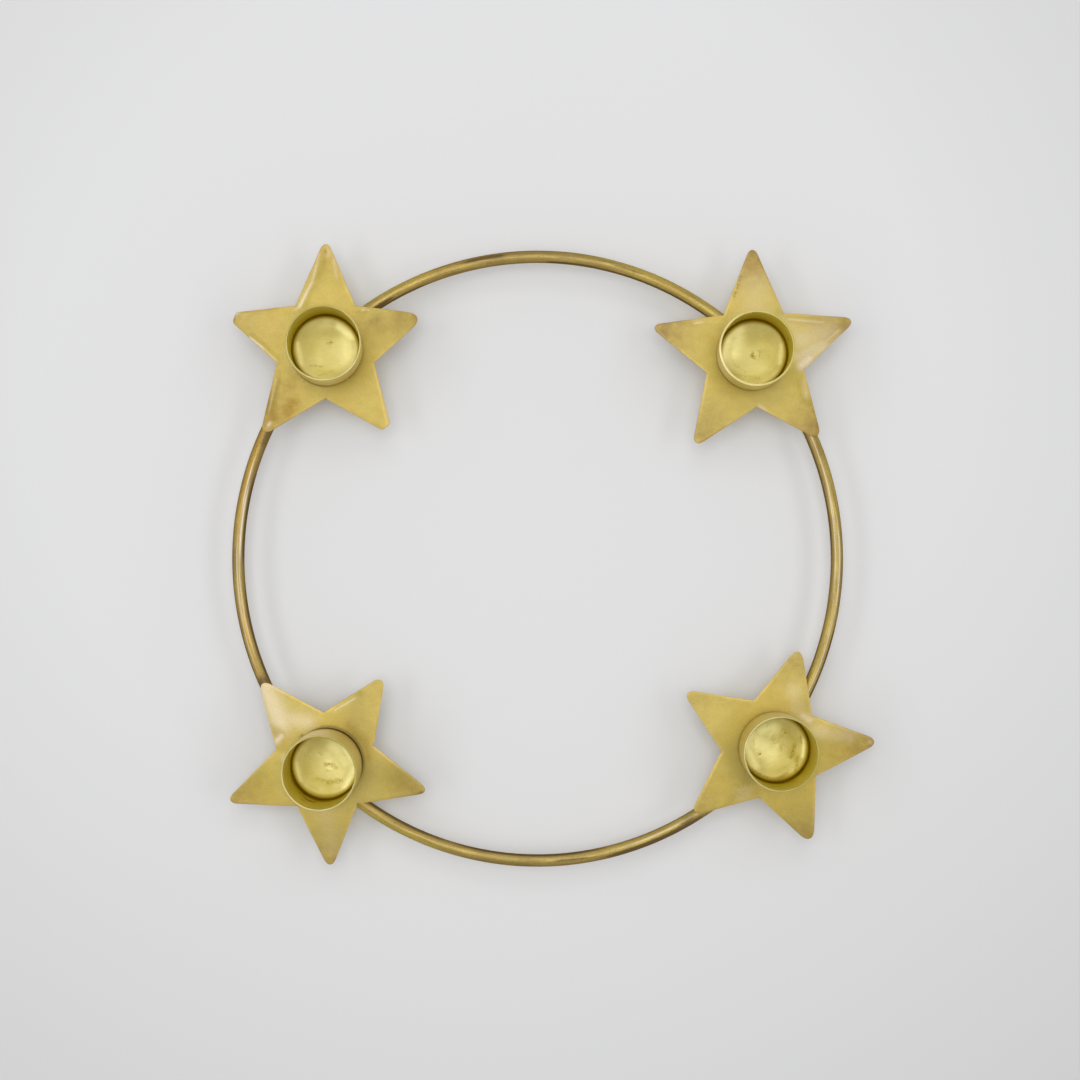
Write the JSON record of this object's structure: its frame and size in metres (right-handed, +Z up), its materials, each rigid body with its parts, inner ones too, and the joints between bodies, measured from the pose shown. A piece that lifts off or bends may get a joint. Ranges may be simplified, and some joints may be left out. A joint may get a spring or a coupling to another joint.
{
  "type": "candle ring",
  "caption": "Brass candle ring on small feet: star-shaped plates on a round rod ring each carry a round cup for a dinner candle.",
  "frame": {"origin": "on the resting surface, under the middle of the whole piece's box", "axes": "+Z up, +X to the right and +Y to the rear, as the picture's right and top"},
  "size_m": [0.2102, 0.2024, 0.0349],
  "materials": {
    "rod_brass": "aged, brown, satin, slightly blotched",
    "plate_brass": "satin, fine brushed grain, browner at the tips",
    "cup_brass": "satin with fine scratches, greener yellow inside",
    "braze_brass": "as flowed, dull"
  },
  "bodies": {
    "root": {"ring": "rod_brass", "foot_rear_left": "rod_brass", "foot_rear_right": "rod_brass", "foot_front_right": "rod_brass", "foot_front_left": "rod_brass", "star_plate_rear_left": "plate_brass", "star_plate_rear_right": "plate_brass", "star_plate_front_right": "plate_brass", "star_plate_front_left": "plate_brass", "candle_cup_rear_left": "cup_brass", "candle_cup_rear_right": "cup_brass", "candle_cup_front_right": "cup_brass", "candle_cup_front_left": "cup_brass", "braze_outer_rear_left": "braze_brass", "braze_inner_rear_left": "braze_brass", "braze_outer_rear_right": "braze_brass", "braze_inner_rear_right": "braze_brass", "braze_outer_front_right": "braze_brass", "braze_inner_front_right": "braze_brass", "braze_outer_front_left": "braze_brass", "braze_inner_front_left": "braze_brass"}
  },
  "joints": []
}
